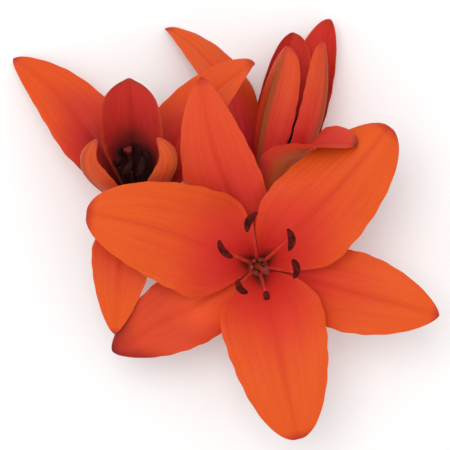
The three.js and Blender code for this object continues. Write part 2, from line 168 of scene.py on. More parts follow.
# Every list of five numbers runs evenly from the base of the petal to its tip, in degrees:
# lean from the bloom's axis, turn of the midrib to the left, cup of each half, roll about
# the midrib. lift_left and lift_right raise a margin, as a share of the half width. wave is
# the height of the margins' waves, waves their number and phase where they start. Headings
# go round from +X to +Y. A bloom stands on its base, tilted from upright towards a heading.
# reach and height place the tip of a stamen or pistil, and point and rise are the heading and
# the slope of an anther.
BLOOMS = dict(
    front=dict(
        base=[14, -17.4, 16],
        toward=0,
        tilt=0,
        tepals=dict(
            inner_left=dict(
                INNER, heading=157, length=82.5, width=45.5, widest=0.38, blunt=1.5, close=0.45,
                lean=[24, 48, 70, 84, 98], cup=[60, 20, 8, -8, -20], turn=[0, 0, 4, 10, 16],
                lift_right=[0, 0.08, 0.25, 0.28, 0.1], wave=1, waves=2.2, phase=0.1,
            ),
            inner_upper_right=dict(
                INNER, heading=43.5, length=87.5, width=41, blunt=1.7, close=0.45,
                lean=[24, 48, 70, 85, 102], cup=[60, 20, 8, -8, -16], turn=[0, 1, 3, 6, 10],
                lift_left=[0, 0, -0.3, -0.55, -0.55], wave=1, waves=2.4, phase=0.3,
            ),
            inner_lower=dict(
                INNER, heading=285, length=80, width=43.5, widest=0.35, blunt=1.6, close=0.48,
                lean=[24, 48, 70, 84, 100], cup=[60, 20, 8, -4, -16], turn=[0, -1, -3, -3, 0],
                wave=1, waves=2.5, phase=0.6,
            ),
            outer_right=dict(
                OUTER, heading=-15, length=78, width=34, widest=0.5,
                lean=[46, 60, 70, 82, 94], cup=[30, 10, 4, 0, -10],
                wave=0.8, waves=2, phase=0.2,
            ),
            outer_lower_left=dict(
                OUTER, heading=210, length=71, width=33,
                lean=[46, 62, 80, 98, 114], cup=[30, 10, 4, 0, -10],
                wave=0.8, waves=2, phase=0.7,
            ),
            outer_upper=dict(
                OUTER, heading=114.5, length=85, width=32,
                lean=[44, 57, 68, 80, 92], cup=[30, 10, 4, 0, 0], turn=[0, -2, -6, -13, -21],
            ),
        ),
        stamens=[
            dict(heading=100, reach=19.5, height=42, point=62, rise=10),
            dict(heading=154, reach=15.8, height=41, point=128, rise=-10),
            dict(heading=45, reach=17, height=43, point=94, rise=12),
            dict(heading=-6, reach=14.1, height=42, point=94, rise=-34),
            dict(heading=218, reach=10.5, height=43, point=125, rise=42),
            dict(heading=284, reach=9.6, height=43, point=100, rise=78),
        ],
        pistil=dict(heading=-20, reach=2.6, height=47),
    ),
    left=dict(
        base=[-37, 4.5, 13],
        toward=94,
        tilt=46,
        tepals=dict(
            outer_upper_left=dict(
                OUTER, heading=134, length=89, width=29.5, blunt=1.4,
                lean=[22, 38, 60, 79, 91], cup=[30, 20, 10, 5, 5], turn=[0, 1, 0, 1, 2],
                roll=[0, -8, -16, -20, -16],
            ),
            outer_upper_right=dict(
                OUTER, heading=37, length=81, width=35, blunt=1.9, close=0.62,
                lean=[24, 34, 44, 52, 58], cup=[30, 20, 10, 5, 5], turn=[0, 4, -3, -16, -31],
            ),
            outer_lower=dict(
                OUTER, heading=259.5, length=55, width=27, widest=0.37, blunt=1.4,
                lean=[54, 98, 126, 136, 140], cup=[30, 20, 10, 5, 0],
            ),
            inner_upper=dict(
                CUPPED, heading=89, length=62.5, width=31.5, blunt=3, close=0.5,
                lean=[16, 18, 14, 4, 0], cup=[40, 55, 60, 60, 40],
            ),
            inner_lower_left=dict(
                CUPPED, heading=213, length=58, width=22, claw=0.34, widest=0.4, blunt=1.8, close=0.62,
                lean=[18, 27, 30, 6, -80], cup=[40, 55, 70, 80, 60], turn=[0, 0, 4, 10, -10],
            ),
            inner_lower_right=dict(
                CUPPED, heading=-29, length=56, width=22, claw=0.34, widest=0.4, blunt=1.8, close=0.62,
                lean=[18, 26, 28, 6, -80], cup=[40, 55, 70, 80, 60], turn=[0, 0, 0, -4, 10],
            ),
        ),
        stamens=[
            dict(heading=side, reach=6, height=30, point=side + 80, rise=60)
            for side in (30, 90, 150, 210, 270, 330)
        ],
        pistil=dict(heading=130, reach=2, height=37),
    ),
    upper=dict(
        base=[16.5, 8.5, 16.5],
        toward=74,
        tilt=86,
        tepals=dict(
            inner_near_left=dict(
                CUPPED, heading=212, length=68, width=25, claw=0.32, widest=0.54, blunt=2.3, close=0.5,
                lean=[20, 18, 8, -2, -8], cup=[40, 50, 60, 60, 50],
            ),
            inner_near_right=dict(
                CUPPED, heading=315, length=75, width=23.5, claw=0.32, widest=0.54, blunt=2.4, close=0.5,
                lean=[20, 18, 3, -14, -26], cup=[40, 55, 60, 60, 50], turn=[0, 0, 3, 6, 9],
            ),
            inner_far_left=dict(
                CUPPED, heading=106, length=75, width=28, blunt=2.6, close=0.5,
                lean=[20, 18, 8, -2, -6], cup=[40, 55, 60, 60, 50],
            ),
            outer_far_right=dict(
                OUTER, heading=56, length=85.5, width=26.5, blunt=2.2, close=0.55,
                lean=[24, 19, 8, -4, -8], cup=[30, 45, 50, 50, 50],
            ),
            outer_left=dict(
                OUTER, heading=148, length=89, width=30,
                lean=[23, 27, 39, 60, 82], cup=[30, 35, 20, 0, 0], roll=[0, 0, -20, -30, -30],
            ),
            outer_near_right=dict(
                OUTER, heading=269, length=58, width=25, blunt=2.2, close=0.55,
                lean=[28, 32, 43, 67, 86], cup=[30, 35, 20, 0, 0], turn=[0, 4, 18, 49, 67],
                roll=[0, 0, 20, 45, 60], lift_left=[0, -0.3, 0, 0, 0], lift_right=[0, 0, 0.2, 0.7, 0.7],
            ),
        ),
        stamens=[
            dict(heading=side, reach=6, height=38, point=side + 80, rise=70)
            for side in (33, 106, 158, 211, 261, 312)
        ],
        pistil=dict(heading=90, reach=0.5, height=46),
    ),
)

STEM_ROUTE = [
    [23, -76, STEM_MIDDLE], [14, -48, STEM_MIDDLE], [3, -20, STEM_MIDDLE], [-4, 2, STEM_MIDDLE],
]
STALK_ROUTES = dict(
    front=[[7, -34, 4.2], [10.5, -27, 5.2], [13, -20.5, 8.5]],
    left=[[-4, 1, 4], [-14, -4, 4.6], [-28, -6.5, 5.6], [-36.5, -4, 8]],
    upper=[[-4, 1, 4], [2, -4, 6.5], [9, -5.5, 11], [14, 0, 14.6]],
)

BRACTS = dict(
    bract_low=dict(
        BRACT, base=[0.5, -27, 4], heading=190, length=26, width=7,
        lean=[70, 78, 86, 94, 98], cup=[20, 30, 30, 20, 10],
    ),
    bract_top=dict(
        BRACT, base=[-4.4, 3.5, 3.8], heading=105, length=24, width=6,
        lean=[70, 78, 86, 94, 98], cup=[20, 30, 30, 20, 10],
    ),
)

# Looks of a petal: sRGB colours of the throat, middle and tip of its inner face, of its
# point, of the nectar groove at its foot, of its veins, of its back and of the back's keel.
# Each pair of ends says where along the petal that colour gives way, as shares: the throat
# to the middle, the middle to the tip, and on the back the middle to the back. Then come the
# half width of the keel and the strength of the paler margin, as shares. Several looks have
# painted shade or painted light in their colours, as noted at each
PETAL_COLOURS = ("throat", "middle", "tip", "point", "nectar", "vein", "back", "keel")
OPEN_PETAL = dict(
    throat=(210, 48, 43), middle=(211, 66, 33), tip=(214, 82, 23), point=(172, 42, 28),
    nectar=(92, 54, 30), vein=(182, 34, 30), back=(214, 80, 34), keel=(172, 84, 38),
    throat_ends=(0.08, 0.62), tip_ends=(0.3, 0.85), back_ends=(0, 0.35), keel_width=0.22, margin=0,
)
PETAL_LOOKS = dict(
    open=OPEN_PETAL,
    redder=dict(
        OPEN_PETAL, throat=(196, 44, 40), middle=(210, 58, 40), tip=(212, 72, 34),
        point=(170, 42, 30), vein=(178, 34, 30), throat_ends=(0.05, 0.6), tip_ends=(0.3, 0.95),
    ),
    # Painted light: this throat is painted lighter and pinker than the open look's, to make up for the
    # shade that the petals above cast on it
    far=dict(
        OPEN_PETAL, throat=(234, 52, 74), middle=(214, 66, 36), vein=(190, 34, 40),
        throat_ends=(0.3, 0.62),
    ),
    # Painted shade and painted light: the dark tip and point are the shade on a tip bent down away from
    # the light, and the throat is painted lighter to make up for the shadow that the petals above cast
    # on it
    painted_shade_and_light=dict(
        OPEN_PETAL, throat=(230, 84, 43), middle=(206, 67, 32), tip=(150, 34, 28),
        point=(112, 28, 24), back=(206, 74, 34), throat_ends=(0.4, 0.65), tip_ends=(0.82, 1.1),
    ),
    # Painted shade: the near-black throat and nectar groove are the shade deep inside the left bloom's
    # cup, not the petal's own colour
    left=dict(
        OPEN_PETAL, throat=(66, 19, 17), middle=(186, 40, 33), tip=(213, 77, 24),
        point=(168, 48, 30), nectar=(40, 16, 14), vein=(178, 34, 30), back=(214, 78, 36),
        keel=(176, 82, 38), throat_ends=(0.12, 0.46), tip_ends=(0.35, 0.85),
    ),
    # Painted shade: the near-black throat and nectar groove are the shade inside the left bloom's deep
    # cup, and the duller reds of the middle and tip are partly the petal's red and partly painted shade
    dark=dict(
        OPEN_PETAL, throat=(60, 28, 25), middle=(198, 43, 39), tip=(202, 54, 44),
        point=(168, 66, 40), nectar=(30, 14, 13), vein=(150, 28, 26), back=(206, 80, 36),
        keel=(180, 86, 38), throat_ends=(0.4, 0.78), tip_ends=(0.5, 0.95), margin=0.7,
    ),
    # Painted shade: the near-black throat and nectar groove are the shade deep between the petals of the
    # upper bloom's half-open cup, and the duller reds of the middle and tip are partly the petal's red
    # and partly painted shade
    upper=dict(
        OPEN_PETAL, throat=(36, 14, 12), middle=(200, 40, 38), tip=(206, 51, 40),
        point=(184, 54, 36), nectar=(30, 14, 13), vein=(150, 28, 26), back=(207, 72, 32),
        keel=(150, 78, 32), throat_ends=(0.5, 0.74), tip_ends=(0.6, 1.0), back_ends=(0.3, 0.85),
        keel_width=0.24, margin=0.8,
    ),
    # Painted shade: the near-black throat and nectar groove are the shade inside the bloom, and the dark
    # point is the shade at the petal's curled tip
    turned=dict(
        OPEN_PETAL, throat=(36, 14, 12), middle=(196, 44, 38), tip=(200, 62, 40),
        point=(112, 40, 28), nectar=(30, 14, 13), vein=(150, 34, 28), back=(208, 64, 36),
        keel=(168, 84, 40), throat_ends=(0.4, 0.6), tip_ends=(0.6, 1.0), back_ends=(0.3, 0.7),
        keel_width=0.9,
    ),
)

# Which look each petal has; the others of a bloom have the bloom's own
BLOOM_LOOKS = dict(front="open", left="left", upper="upper")
OTHER_LOOKS = dict(
    front_outer_upper="redder", front_outer_lower_left="painted_shade_and_light",
    left_inner_upper="dark", left_inner_lower_left="dark", left_inner_lower_right="dark",
    left_outer_lower="open", upper_outer_left="far", upper_outer_near_right="turned",
)

# What each shader group puts out, and of which kind
GROUP_RESULTS = {"Color": "Color", "Roughness": "Float", "Height": "Float"}

# Pattern of a petal: strengths, shares of its length or half width, and scales per metre
CLOUD_SCALE = 38
CLOUD_SHIFT = 0.3
MARGIN_LEAD = 0.22
STREAKS_ACROSS = 7
STREAKS_ALONG = 2
STREAK_CHANGE = 9
STREAK_RANGE = (0.35, 0.7)
STREAK_STRENGTH = 0.385
STREAK_FADE = -0.35
VEINS_ACROSS = 9
VEIN_WANDER = 0.55
VEIN_RANGE = (0.2, 1)
VEIN_STRENGTH = 0.04
MIDLINE_WIDTH = 0.08
MIDLINE_STRENGTH = 0.25
NECTAR_CURVE = 0.15
NECTAR_ENDS = (0.08, 0.17)
NECTAR_STRENGTH = 0.8
MARGIN_ENDS = (0.84, 0.98)
KEEL_CORE = 0.2
KEEL_STRENGTH = 0.9
KEEL_ENDS = (0.8, 1.0)
KEEL_TIP_STRENGTH = 0.3
# Painted shade in a band on each side of the back's keel, for the grooves beside the raised keel: its
# rate across the petal, where it fades, and its strength
KEEL_SHADE_RATE = 14
KEEL_SHADE_ENDS = (0.3, 0.4)
KEEL_SHADE_STRENGTH = 0.3
BACK_STREAK_STRENGTH = 0.25
POINT_ENDS = (0.94, 1.0)
POINT_STRENGTH = 0.85
PETAL_ROUGHNESS = 0.42
PETAL_ROUGHNESS_SPREAD = 0.2
GRAIN_SCALE = 1400
GRAIN_RELIEF = 0.2
STREAK_RELIEF = 0.4

# Satin gloss of a petal, the light it lets through, and its relief's strength and height
PETAL_GLOSS = {
    "Subsurface Weight": 0.12, "Subsurface Radius": (1.0, 0.3, 0.12), "Subsurface Scale": 0.002,
    "IOR": 1.4, "Specular IOR Level": 0.2,
}
PETAL_RELIEF = (0.18, 0.0003)

# Pattern of the other pieces
PATCH_RANGE = (0.35, 0.68)
SKIN_CONTRAST = 0.6
SKIN_ROUGHNESS_SPREAD = 0.15


def srgb(red, green, blue):
    """Linear colour of 8-bit sRGB values."""
    share = np.array([red, green, blue]) / 255
    linear = np.where(share <= 0.04045, share / 12.92, ((share + 0.055) / 1.055) ** 2.4)
    return (*linear.tolist(), 1.0)


def along(values, t):
    """Catmull-Rom curve through values at even stations from 0 to 1, straight past the ends."""
    points = np.asarray(values, float)
    padded = np.concatenate([[2 * points[0] - points[1]], points, [2 * points[-1] - points[-2]]])
    last = len(points) - 1
    place = np.clip(t, 0, 1) * last
    station = np.minimum(place.astype(int), last - 1)
    part = place - station
    a, b, c, d = (padded[station + k] for k in range(4))
    bend = 2 * a - 5 * b + 4 * c - d + part * (3 * (b - c) + d - a)
    return b + 0.5 * part * (c - a + part * bend)


def unit(vectors):
    """Vectors scaled to length one, along the last axis."""
    return vectors / np.maximum(np.linalg.norm(vectors, axis=-1, keepdims=True), SMALLEST_LENGTH)


def turned(vectors, axes, angles):
    """Each vector turned about its own unit axis by its own angle, by Rodrigues' formula."""
    cosine, sine = np.cos(angles)[:, None], np.sin(angles)[:, None]
    dots = np.sum(axes * vectors, axis=1, keepdims=True)
    return vectors * cosine + np.cross(axes, vectors) * sine + axes * dots * (1 - cosine)


def outline(spec, t):
    """Half width of a blade as a share of its greatest half width: a quarter sine up to the
    widest point, then a rounded closing power towards the tip."""
    grown = np.power(np.clip(t / spec["widest"], 0, 1), spec["swell"])
    swelling = spec["claw"] + (1 - spec["claw"]) * np.sin(np.pi / 2 * grown)
    to_tip = np.clip((t - spec["widest"]) / (1 - spec["widest"]), 0, 1)
    closing = np.maximum((1 - to_tip ** spec["blunt"]) ** spec["close"], NARROWEST)
    return np.where(t < spec["widest"], swelling, closing)


def midrib(spec):
    """Places and frames along the midrib: even steps of length, each leaning away from the
    bloom's axis, turned to the left and rolled about itself, summed by the trapezoid rule."""
    t = np.linspace(0, 1, MIDRIB_STEPS + 1)
    heading = np.radians(spec["heading"])
    outward = np.array([np.cos(heading), np.sin(heading), 0])
    leftward = np.array([-np.sin(heading), np.cos(heading), 0])
    up = np.array([0, 0, 1.0])
    lean = np.radians(along(spec["lean"], t))[:, None]
    turn = np.radians(along(spec.get("turn", [0, 0]), t))[:, None]
    roll = np.radians(along(spec.get("roll", [0, 0]), t))
    out = outward * np.cos(turn) + leftward * np.sin(turn)
    forward = up * np.cos(lean) + out * np.sin(lean)
    side = turned(leftward * np.cos(turn) - outward * np.sin(turn), forward, roll)
    face = np.cross(forward, side)
    steps = (forward[1:] + forward[:-1]) * spec["length"] / MIDRIB_STEPS / 2
    start = outward * spec["ring"] + up * TEPAL_LIFT
    place = start + np.concatenate([np.zeros((1, 3)), np.cumsum(steps, axis=0)])
    return t, place, side, face


def margin_wave(spec, t, v):
    """Gentle waves of the margins: a sine along the blade that grows as a power of the
    distance from the midrib, the left margin ahead of the right one."""
    if "wave" not in spec:
        return 0 * t * v
    strength = np.sin(np.pi * t) ** WAVE_SPREAD * np.abs(v) ** WAVE_EDGE
    shift = spec["phase"] + np.where(v > 0, WAVE_STEP, 0)
    return spec["wave"] * strength * np.sin(2 * np.pi * (spec["waves"] * t + shift))


def fine_relief(spec, t, v, rng):
    """Pleats that run along the blade, as a sine of the share across it, and small ripples
    near the margins, as a sine along it with a drawn phase for each side."""
    start, left, right = rng.uniform(0, 2 * np.pi, 3)
    ends = np.sin(np.pi * np.clip(t, 0, 1)) ** RELIEF_FADE
    pleat_phase = start + PLEAT_DRIFT * t
    pleats = PLEAT_HEIGHT * np.cos(2 * np.pi * PLEATS * np.abs(v) + pleat_phase) * (1 - v ** 2)
    drift = RIPPLE_DRIFT * np.sin(RIPPLE_HALF_DRIFTS * np.pi * t + start)
    phase = np.where(v > 0, left, right) + drift
    ripples = RIPPLE_HEIGHT * np.sin(2 * np.pi * RIPPLES * t + phase) * np.abs(v) ** RIPPLE_EDGE
    return ends * (pleats + ripples * min(spec["width"] / RIPPLE_FULL_WIDTH, 1))


def blade_surface(spec, rng):
    """Middle surface of a blade on a grid of t, base to tip, and v, margin to margin: each row
    is an arc of the cup's angle across the midrib, with its groove, waves and relief."""
    s = np.linspace(0, 1, BLADE_ROWS + 1)
    t = (1 - TIP_CROWDING) * s + TIP_CROWDING * np.sin(np.pi / 2 * s)
    v = np.sin(np.pi / 2 * np.linspace(-1, 1, BLADE_COLUMNS + 1))
    stations, *parts = midrib(spec)
    place, side, face = (
        np.stack([np.interp(t, stations, part[:, k]) for k in range(3)], axis=1)[:, None]
        for part in parts)
    rows, columns = t[:, None], v[None, :]
    half = spec["width"] / 2 * outline(spec, rows)
    cup = np.radians(along(spec["cup"], rows))
    cup = np.where(np.abs(cup) < LEAST_CUP, LEAST_CUP, cup)
    phase = rng.uniform(0, 2 * np.pi)
    ripple = 1 + RIPPLE_WIDTH * np.sin(2 * np.pi * RIPPLES * rows + phase) * np.sin(np.pi * rows)
    across = half * ripple * np.sin(cup * columns) / cup
    height = half * (1 - np.cos(cup * columns)) / cup
    for key, margin in (("lift_left", columns > 0), ("lift_right", columns < 0)):
        height = height + half * along(spec.get(key, [0, 0]), rows) * columns ** 2 * margin
    height = height + margin_wave(spec, rows, columns) + fine_relief(spec, rows, columns, rng)
    depth = GROOVE_DEPTH * np.minimum(rows / GROOVE_START, 1)
    height = height - depth * np.exp(-(columns * half / GROOVE_WIDTH) ** 2)
    surface = place + across[..., None] * side + height[..., None] * face
    return surface, np.broadcast_to(rows, height.shape), np.broadcast_to(columns, height.shape)


def blade_shell(surface, t, v):
    """Both faces of a blade: the middle surface moved along its normal by half a thickness
    that thins towards the margins and closes at the rim, where the two faces share points."""
    normal = unit(np.cross(np.gradient(surface, axis=0), np.gradient(surface, axis=1)))
    rounding = np.sqrt(np.clip(1 - np.abs(v) ** MARGIN_ROUNDING, 0, 1))
    ending = np.sqrt(np.clip(1 - np.abs(2 * t - 1) ** END_ROUNDING, 0, 1))
    thinning = 1 - MARGIN_THINNING * v ** 2
    half = BLADE_THICKNESS / 2 * thinning * rounding * ending
    inner = surface + normal * half[..., None]
    back = surface - normal * half[..., None]
    rows, columns = t.shape
    front_index = np.arange(rows * columns).reshape(rows, columns)
    within = np.zeros((rows, columns), bool)
    within[1:-1, 1:-1] = True
    count = np.count_nonzero(within)
    back_index = front_index.copy()
    back_index[within] = rows * columns + np.arange(count)
    points = np.concatenate([inner.reshape(-1, 3), back[within]])
    faces = np.concatenate([split_grid(front_index), split_grid(back_index)[:, ::-1]])
    values = dict(
        along=np.concatenate([t.ravel(), t[within]]),
        across=np.concatenate([v.ravel(), v[within]]),
        inner=np.repeat([1.0, 0.0], [t.size, count]),
    )
    return points, faces, values


def quad_grid(index):
    """Four corners of each cell of a grid of point numbers, one row a cell."""
    corners = index[:-1, :-1], index[1:, :-1], index[1:, 1:], index[:-1, 1:]
    return np.stack([corner.ravel() for corner in corners], axis=1)


def split_grid(index):
    """Triangles of a grid: each cell is split along the diagonal that points to its nearer
    corner of the grid, so that no cut joins two points of the rim."""
    a, b, c, d = (corner.copy() for corner in quad_grid(index).T)
    rows, columns = index.shape[0] - 1, index.shape[1] - 1
    row, column = np.divmod(np.arange(rows * columns), columns)
    other = (row < rows / 2) != (column < columns / 2)
    first = np.where(other[:, None], np.stack([a, b, d], axis=1), np.stack([a, b, c], axis=1))
    second = np.where(other[:, None], np.stack([b, c, d], axis=1), np.stack([a, c, d], axis=1))
    return np.concatenate([first, second])


def smooth_route(stations, count):
    """Centripetal Catmull-Rom curve through the stations, at even steps of its length."""
    points = np.asarray(stations, float)
    padded = np.concatenate([[2 * points[0] - points[1]], points, [2 * points[-1] - points[-2]]])
    place = np.linspace(0, len(points) - 1, ROUTE_FINENESS * count)
    station = np.minimum(place.astype(int), len(points) - 2)
    part = (place - station)[:, None]
    a, b, c, d = (padded[station + k] for k in range(4))
    before, within, after = (
        np.sqrt(np.linalg.norm(q - p, axis=1))[:, None] for p, q in ((a, b), (b, c), (c, d)))
    leave = within * ((b - a) / before - (c - a) / (before + within) + (c - b) / within)
    arrive = within * ((c - b) / within - (d - b) / (within + after) + (d - c) / after)
    curve = b + part * (leave + part * (3 * (c - b) - 2 * leave - arrive
                                        + part * (2 * (b - c) + leave + arrive)))
    walked = np.concatenate([[0], np.cumsum(np.linalg.norm(np.diff(curve, axis=0), axis=1))])
    even = np.linspace(0, walked[-1], count)
    return np.stack([np.interp(even, walked, curve[:, k]) for k in range(3)], axis=1), walked[-1]


def full_turn(count):
    """Even angles once round a circle."""
    return np.linspace(0, 2 * np.pi, count, endpoint=False)


def tube(route, radius, hint):
    """Rings round a route: each point lies at its radius from the route, in the plane across
    it, at an even angle from the direction that is square to both the route and the hint."""
    tangent = unit(np.gradient(route, axis=0))
    side = unit(np.cross(tangent, hint))
    over = np.cross(side, tangent)
    angle = full_turn(radius.shape[1])[None, :, None]
    return route[:, None] + radius[..., None] * (
        side[:, None] * np.cos(angle) + over[:, None] * np.sin(angle))


def tube_shell(points):
    """Quads between the rings of a tube, wrapped round, with a fan to a point at each end."""
    rings, sides = points.shape[:2]
    index = np.arange(rings * sides).reshape(rings, sides)
    wrapped = np.concatenate([index, index[:, :1]], axis=1)
    quads = quad_grid(wrapped)
    foot, head = rings * sides, rings * sides + 1
    first, last = wrapped[0], wrapped[-1]
    fans = [np.stack([first[:-1], first[1:], np.full(sides, foot)], axis=1)]
    fans.append(np.stack([last[1:], last[:-1], np.full(sides, head)], axis=1))
    middles = np.stack([points[0].mean(axis=0), points[-1].mean(axis=0)])
    everything = np.concatenate([points.reshape(-1, 3), middles])
    return everything, quads, np.concatenate(fans)


def rotation(bloom):
    """Turns the bloom's own axes into the part's: a tilt from upright towards a heading."""
    toward, tilt = np.radians(bloom["toward"]), np.radians(bloom["tilt"])
    hinge = np.array([[-np.sin(toward), np.cos(toward), 0]])
    axes = np.eye(3)
    return turned(axes, np.repeat(hinge, 3, axis=0), np.full(3, tilt))


def in_part(points, bloom):
    """Points of a bloom's own frame, in the part's."""
    return points @ rotation(bloom) + np.array(bloom["base"])


def polar(heading, radius, height):
    """Point at a distance from a bloom's axis and a height above its receptacle."""
    angle = np.radians(heading)
    return [radius * np.cos(angle), radius * np.sin(angle), height]


def new_piece(name, shells, finish, replaced):
    """One mesh object of closed shells, in metres, smooth, riding on the part's only body.
    A shell is its points in millimetres, its faces, and its named values at the points."""
    points, faces, values, count = [], [], {}, 0
    for shell_points, shell_faces, shell_values in shells:
        points.append(shell_points)
        faces += [(block + count).tolist() for block in shell_faces]
        count += len(shell_points)
        for key, numbers in shell_values.items():
            values.setdefault(key, []).append(numbers)
    places = (np.concatenate(points) - BOX_MIDDLE) * METRES
    mesh = bpy.data.meshes.new(name)
    mesh.from_pydata(places.tolist(), [], [face for block in faces for face in block])
    for key, numbers in values.items():
        attribute = mesh.attributes.new(key, "FLOAT", "POINT")
        attribute.data.foreach_set("value", np.concatenate(numbers).astype(np.float32))
    mesh.materials.append(finish)
    mesh.shade_smooth()
    piece = bpy.data.objects.new(name, mesh)
    bpy.context.scene.collection.objects.link(piece)
    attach(piece, "root")
    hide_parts(*replaced)


def seed_of(name):
    """Seed of a piece's own random draws, from its name's letters."""
    return sum((place + 1) * ord(letter) for place, letter in enumerate(name))


def blade_piece(name, spec, place, finish, slot):
    """Petal or small leaf, put in place by a function from its own frame to the part's."""
    surface, t, v = blade_surface(spec, np.random.default_rng(seed_of(name)))
    points, faces, values = blade_shell(surface, t, v)
    kind = "petal" if slot == "petal" else "leaf"
    new_piece(f"{name}_{kind}", [(place(points), [faces], values)], finish, [name])


def filament_stations(stamen):
    """Places along a filament: upright at its foot, then leaning out to its reach."""
    span = stamen["reach"] - STAMEN_RING
    return [polar(stamen["heading"], STAMEN_RING + span * outward,
                  COLLAR_FOOT + stamen["height"] * upward)
            for outward, upward in FILAMENT_COURSE]


def filament_shell(stamen, bloom):
    """Thin tube along the filament's route, its radius falling evenly towards the tip."""
    rings, sides = FILAMENT_GRID
    route, _ = smooth_route(filament_stations(stamen), rings)
    t = np.linspace(0, 1, rings)
    radius = np.repeat(FILAMENT_RADIUS * (1 - FILAMENT_TAPER * t)[:, None], sides, axis=1)
    heading = np.radians(stamen["heading"])
    points = tube(route, radius, np.array([-np.sin(heading), np.cos(heading), 0]))
    everything, quads, fans = tube_shell(points)
    return in_part(everything, bloom), [quads, fans], {}


def collar_shell(bloom):
    """Ring that the filaments grow from: a rounded square section carried round the axis."""
    turns, sides = COLLAR_GRID
    turn = full_turn(turns)[:, None]
    angle = full_turn(sides)[None, :]
    corner = np.abs(np.cos(angle)) ** COLLAR_SQUARENESS + np.abs(np.sin(angle)) ** COLLAR_SQUARENESS
    bulge = 1 / corner ** (1 / COLLAR_SQUARENESS)
    middle = (COLLAR_INNER + COLLAR_OUTER) / 2
    radius = middle + (COLLAR_OUTER - COLLAR_INNER) / 2 * bulge * np.cos(angle)
    height = COLLAR_FOOT + COLLAR_HEIGHT / 2 * (1 + bulge * np.sin(angle))
    points = np.stack([radius * np.cos(turn), radius * np.sin(turn), height + 0 * turn], axis=-1)
    index = np.arange(turns * sides).reshape(turns, sides)
    index = np.concatenate([index, index[:1]])
    index = np.concatenate([index, index[:, :1]], axis=1)
    return in_part(points.reshape(-1, 3), bloom), [quad_grid(index)], {}


def anther_shell(stamen, bloom, rng):
    """Bean across the filament's tip, its ends bent in towards the bloom's axis: a half-circle
    profile along it, with a furrow on each side and on its upper face, cut in as bell curves
    of the angle round it."""
    *_, before, tip = (np.array(place) for place in filament_stations(stamen))
    forward = unit(tip - before)
    point, rise = np.radians(stamen["point"]), np.radians(stamen["rise"])
    axis = np.array([np.cos(point) * np.cos(rise), np.sin(point) * np.cos(rise), np.sin(rise)])
    away = unit(forward - axis * np.dot(forward, axis))
    middle = tip + away * (ANTHER_GAP + ANTHER_RADIUS)
    outward = np.array(polar(stamen["heading"], 1, 0))
    bulge = unit(outward - axis * np.dot(outward, axis))
    rings, sides = ANTHER_GRID
    t = np.linspace(0, 1, rings)
    share = np.sin(np.pi * (t - 0.5)) / 2
    route = middle + np.outer(share * ANTHER_LENGTH, axis)
    route = route - np.outer(ANTHER_BEND * (2 * share) ** 2, bulge)
    profile = np.sqrt(np.clip(1 - (2 * share) ** 2, 0, 1))
    radius = ANTHER_RADIUS * np.maximum(profile, ANTHER_END)[:, None]
    angle = full_turn(sides)[None, :]
    furrows = sum(
        np.exp(-(np.angle(np.exp(1j * (angle - place))) / ANTHER_FURROW_WIDTH) ** 2)
        for place in np.radians(ANTHER_FURROW_PLACES))
    swell_phase = ANTHER_HALF_SWELLS * np.pi * t[:, None] + rng.uniform(0, 2 * np.pi)
    swell = 1 + ANTHER_SWELL * np.sin(swell_phase)
    radius = radius * (1 - ANTHER_FURROW * furrows) * swell
    points = tube(route, radius, np.cross(axis, away))
    everything, quads, fans = tube_shell(points)
    return in_part(everything, bloom), [quads, fans], {}


def pistil_shell(spec, bloom):
    """Ovary, style and stigma: a faintly lobed tube, a thin one and a lobed head with a round
    end, each radius giving way to the next along an S-shaped logistic curve."""
    rings, sides = PISTIL_GRID
    height, reach = spec["height"], spec["reach"]
    stations = [[0, 0, PISTIL_FOOT]]
    stations += [polar(spec["heading"], reach * out, height * up) for out, up in PISTIL_COURSE]
    route, _ = smooth_route(stations, rings)
    t = np.linspace(0, 1, rings)[:, None]
    angle = full_turn(sides)[None, :]
    place = t * height
    ovary = OVARY_RADIUS * (1 + OVARY_LOBE_DEPTH * np.cos(OVARY_LOBES * angle))
    head = STIGMA_RADIUS * (1 + STIGMA_LOBE_DEPTH * np.cos(STIGMA_LOBES * angle))
    leaving = 1 / (1 + np.exp(-(place - OVARY_LENGTH) / NECK_BLEND))
    arriving = 1 / (1 + np.exp(-(place - (height - STIGMA_LENGTH)) / STIGMA_BLEND))
    radius = ovary * (1 - leaving) + STYLE_RADIUS * leaving * (1 - arriving) + head * arriving
    above = np.clip((place - height + STIGMA_DOME) / STIGMA_DOME, 0, 1)
    dome = np.sqrt(np.clip(1 - above ** 2, STIGMA_END, 1))
    points = tube(route, radius * dome, np.array([0, 1.0, 0]))
    everything, quads, fans = tube_shell(points)
    values = dict(head=np.concatenate([np.repeat(arriving.ravel(), sides), [0, 1]]))
    return in_part(everything, bloom), [quads, fans], values


def stem_shell():
    """Stem: a round section with faint ribs along a flat curve, pressed flat where it lies."""
    rings, sides = STEM_GRID
    route, _ = smooth_route(STEM_ROUTE, rings)
    angle = full_turn(sides)[None, :]
    ribs = 1 + STEM_RIB_HEIGHT * np.cos(STEM_RIBS * angle)
    radius = STEM_RADIUS * np.repeat(ribs, rings, axis=0)
    points = tube(route, radius, np.array([0, 0, 1.0]))
    points[..., 2] = np.maximum(points[..., 2], 0)
    everything, quads, fans = tube_shell(points)
    return everything, [quads, fans], dict(head=np.zeros(len(everything)))


